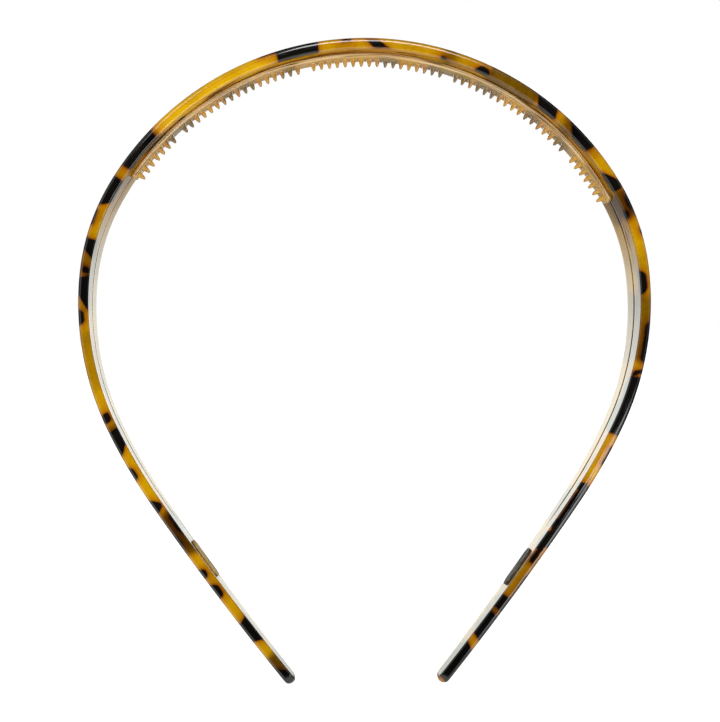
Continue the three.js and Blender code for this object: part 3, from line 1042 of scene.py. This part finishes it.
comb_tree.links.new(teeth, whole.inputs[0])
comb_tree.links.new(given["Back"], whole.inputs[0])
fill(comb_tree, result["Comb"], finished(comb_tree, whole.outputs[0], given["Material"]))
print("comb tree has", len(comb_tree.nodes), "nodes")

# %% Set the teeth
comb = plain_mesh("toothed_comb", comb_back, comb_tree, {
    "Tooth": tooth, "Material": comb_acetate, "Places": TOOTH_PLACES,
    "Pitch Angle": TOOTH_PITCH / STRIP_INNER, "Middle Angle": COMB_SHIFT / STRIP_INNER,
    "First Gap": 7, "Gap Every": 18,
    "Centre Drop": INNER_RADIUS * MM, "Unevenness": 0.03 * MM, "Seed": 5})
drop(comb_back, tooth)

# %% [markdown]
# The strip has dark stretches, a few teeth long, and the teeth share them. The points
# get their place on the flat strip by unrolling them round the crown's centre, and the
# distance to the nearest dark stretch is stored on them as on the band.

# %% Paint the comb
points = np.array([v.co for v in comb.data.vertices]) / MM
angles = np.arctan2(points[:, 0], points[:, 2] + INNER_RADIUS)
radii = np.hypot(points[:, 0], points[:, 2] + INNER_RADIUS)
unrolled = np.stack([angles * STRIP_INNER, points[:, 1], radii - STRIP_INNER], 1) * MM
paint(comb.data, "blank", unrolled)
DARK_TEETH = [  # start and end along the crown
    (-51, -43.5), (-34, -31.5), (-29.5, -26.5), (-18.5, -16), (4.5, 8.5), (16, 26),
    (28, 34), (41.5, 45.5), (51, 55)]
nearest = np.full(len(points), 20.0)
push = noise_at(points, 3.0, 4)[:, 0] * 1.2
for start, end in DARK_TEETH:
    away = np.abs(unrolled[:, 0] / MM + push - (start + end) / 2) - (end - start) / 2
    nearest = np.minimum(nearest, away)
paint(comb.data, "blotch", nearest * 0.6 + 0.15)
print("comb spans", round(float(angles.max() - angles.min()) * STRIP_INNER, 1), "mm")

# %% [markdown]
# The comb is thin and lighter than the band. Light comes through it, so the shared
# colour is mixed half and half with tan. The sawn side faces show fine dark and pale
# lines: the dark ones are saw marks, and the pale ones are partly painted highlight,
# streaks of light mirrored along the wall. The flanks of a tooth look through more
# plastic and darken towards its tip, and each tooth is a little deeper or paler than
# the next, by the shade number that it carries.

# %% Mix the comb's acetate
tree = comb_acetate.node_tree
comb_place = painted_on(tree, "blank", "Vector")
sheet = place_group(tree, shell_tree, {
    "Place": comb_place, "Blotch Distance": painted_on(tree, "blotch"),
    "Cloud": 0.0, "Painted Highlight": 0.0})
to_tip = painted_on(tree, "to_tip")
plain = run(tree, to_tip, 0.0, 0.35, 0.5, 0.3)
tan = ramp(tree, cloudy(tree, comb_place, 7.0, 1.0), [
    (0.35, (0.72, 0.44, 0.21)), (0.50, (0.76, 0.50, 0.24)), (0.62, (0.78, 0.47, 0.10))])
warm = blend_colours(tree, plain, sheet["Colour"], tan)
across = put(tree, "ShaderNodeSeparateXYZ", {0: comb_place}).outputs["Y"]
sawn = run(tree, calc(tree, "ABSOLUTE", across), 2.5 * MM, 2.8 * MM, 0.0, 0.8)
# Dark and pale lines on the sawn wall. The dark ones are saw marks. The pale ones are
# partly saw marks and partly painted highlight, standing in for light mirrored along the
# wall.
saw_and_sheen_lines = ramp(tree, cloudy(tree, drawn_out(tree, comb_place, 0.03), 0.3, 1.0), [
    (0.36, (0.10, 0.055, 0.03)), (0.46, (0.66, 0.42, 0.18)), (0.66, (0.88, 0.70, 0.46))])
warm = blend_colours(tree, sawn, warm, saw_and_sheen_lines)
off_middle = painted_on(tree, "off_middle")
flank = calc(tree, "MULTIPLY", calc(tree, "MULTIPLY", off_middle, off_middle), to_tip)
warm = blend_colours(tree, calc(tree, "MULTIPLY", flank, 0.6), warm, (0.15, 0.075, 0.02))
deeper = calc(tree, "MULTIPLY", painted_on(tree, "shade"), 0.15)
warm = blend_colours(tree, deeper, warm, (0.22, 0.11, 0.03))
buffed = place_group(tree, buff_tree, {
    "Place": comb_place, "Shine": 0.16, "Wear": 0.14, "Line Size": 1800.0})
fill(tree, shader["Base Color"], warm)
fill(tree, shader["Roughness"], buffed["Roughness"])
fill(tree, shader["Normal"], bump(tree, buffed["Height"], 0.3, 0.02))
shader["IOR"].default_value = 1.49
shader["Subsurface Weight"].default_value = 0.35
shader["Subsurface Radius"].default_value = (1.0, 0.5, 0.2)
shader["Subsurface Scale"].default_value = 1.0 * MM
print("made", comb_acetate.name)

# %% [markdown]
# A grip pad is a thin oblong of smoked vinyl that keeps the leg from sliding. Vinyl of
# this kind is satin, finely pebbled, and lets some of the band's colour through, so the
# shared colour is mixed with a milky one and then smoked over, more on one pad than on
# the other.

# %% Mix the smoked vinyl
smoked_vinyl, tree, shader = new_material("smoked_vinyl")
pad_place = painted_on(tree, "blank", "Vector")
beneath = place_group(tree, shell_tree, {
    "Place": pad_place, "Blotch Distance": painted_on(tree, "blotch"),
    "Cloud": 0.0, "Painted Highlight": 0.0})
smoke = run(tree, cloudy(tree, pad_place, 1.1, 4.0), 0.35, 0.65, -0.25, 0.25)
smoke = calc(tree, "ADD", smoke, painted_on(tree, "smoked"), clamp=True)
milky = blend_colours(tree, 0.5, beneath["Colour"], (0.60, 0.50, 0.24))
tint = blend_colours(tree, smoke, milky, (0.055, 0.050, 0.058))
pebbles = put(tree, "ShaderNodeTexVoronoi", {
    "Vector": pad_place, "Scale": 3200.0}, feature="SMOOTH_F1").outputs["Distance"]
fill(tree, shader["Base Color"], tint)
worn = place_group(tree, buff_tree, {
    "Place": pad_place, "Shine": 0.55, "Wear": 0.2, "Line Size": 900.0})
fill(tree, shader["Roughness"], worn["Roughness"])
fill(tree, shader["Normal"], bump(tree, pebbles, 0.4, 0.03))
shader["IOR"].default_value = 1.5
shader["Specular IOR Level"].default_value = 0.2
print("made", smoked_vinyl.name)

# %% [markdown]
# Each pad is bent with its leg, so the same tree makes it, with a nose as long as half
# its width. The left pad lies on amber and the right one on a dark blotch.

# %% Bend the two pads
PAD_HALF = 5.2
PAD_WIDTH = 3.4
PAD_THICK = 0.45
PADS = [  # name, side, from its middle to the tip, distance to a blotch, smoke
    ("grip_pad_left", -1, 36.0, 2.4, 0.15), ("grip_pad_right", 1, 32.8, -0.6, 0.9)]
pad_section = round_section("pad_section", 5, 1, 3, 2)
pads = {}
for name, side, from_tip, clear_of, smoked in PADS:
    pad_line = path_line("pad_line", stations(PAD_HALF, 0.3, PAD_WIDTH / 2, 10),
                         side * (HALF_LENGTH - from_tip), -(THICKNESS + PAD_THICK) / 2)
    pad = even_sheet("smoked_" + name, pad_line, pad_section, smoked_vinyl, PAD_WIDTH,
                     PAD_HALF, PAD_THICK, 0.2, PAD_WIDTH / 2)
    spots = noise_at(np.stack(strip_coordinates(pad.data), 1), 1.6, 5 + side)[:, 0]
    paint(pad.data, "blotch", clear_of + 2.6 * spots)
    paint(pad.data, "smoked", np.full(len(spots), smoked))
    pads[name] = pad
    drop(pad_line)
drop(pad_section)

# %% [markdown]
# Each finished piece stands for its CAD node, which is hidden, and rides on the part's
# one body.

# %% Hand the pieces over
for piece, node, finish in (
    (band, "band", "tortoiseshell"),
    (comb, "comb_strip", "comb_acetate"),
    (pads["grip_pad_left"], "grip_pad_left", "smoked_vinyl"),
    (pads["grip_pad_right"], "grip_pad_right", "smoked_vinyl"),
):
    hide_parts(node)
    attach(piece, "root")
    print(piece.name, "stands for", node)
